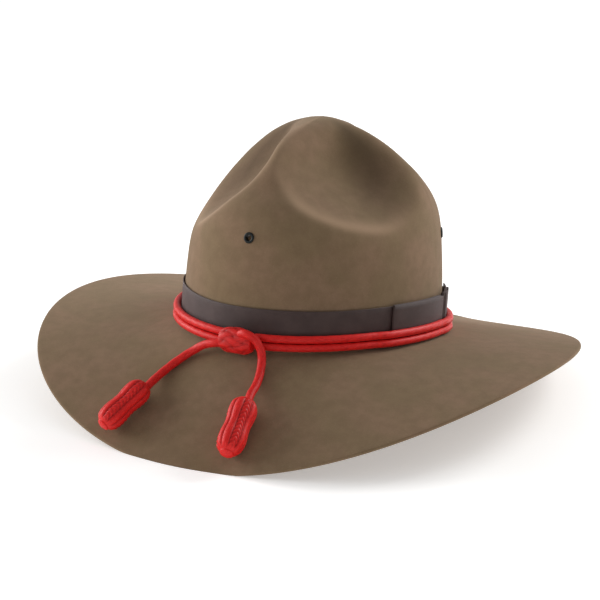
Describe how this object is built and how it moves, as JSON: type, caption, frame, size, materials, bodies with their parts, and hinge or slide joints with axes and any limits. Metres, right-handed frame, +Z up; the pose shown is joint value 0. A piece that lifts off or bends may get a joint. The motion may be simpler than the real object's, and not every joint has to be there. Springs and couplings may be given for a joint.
{
  "type": "campaign hat",
  "caption": "Felt campaign hat with a dented peak crown, a wide drooping brim, a ribbon with a flat bow, vent eyelets, and a red cord with a slide and two acorns.",
  "frame": {"origin": "on the floor under the middle of the hat, which stands on the front and back edges of its brim", "axes": "+Z up, -Y towards the hat's front, +X towards the wearer's left"},
  "size_m": [0.3774, 0.3752, 0.1898],
  "materials": {
    "felt": "dense brown wool felt, matt with a short soft nap",
    "ribbon": "dark brown grosgrain ribbon, fine upright ribs with a slight silky sheen",
    "eyelet": "black enamelled metal, half gloss",
    "cord": "braided red rayon cord, slightly lustrous"
  },
  "bodies": {
    "root": {"felt_body": "felt", "ribbon": "ribbon", "bow_loop": "ribbon", "bow_keeper": "ribbon", "bow_tail": "ribbon", "eyelet_front": "eyelet", "eyelet_left": "eyelet", "eyelet_right": "eyelet", "cord_lower": "cord", "cord_upper": "cord", "cord_slide": "cord", "cord_tail_left": "cord", "cord_tail_right": "cord", "acorn_left": "cord", "acorn_right": "cord"}
  },
  "joints": []
}
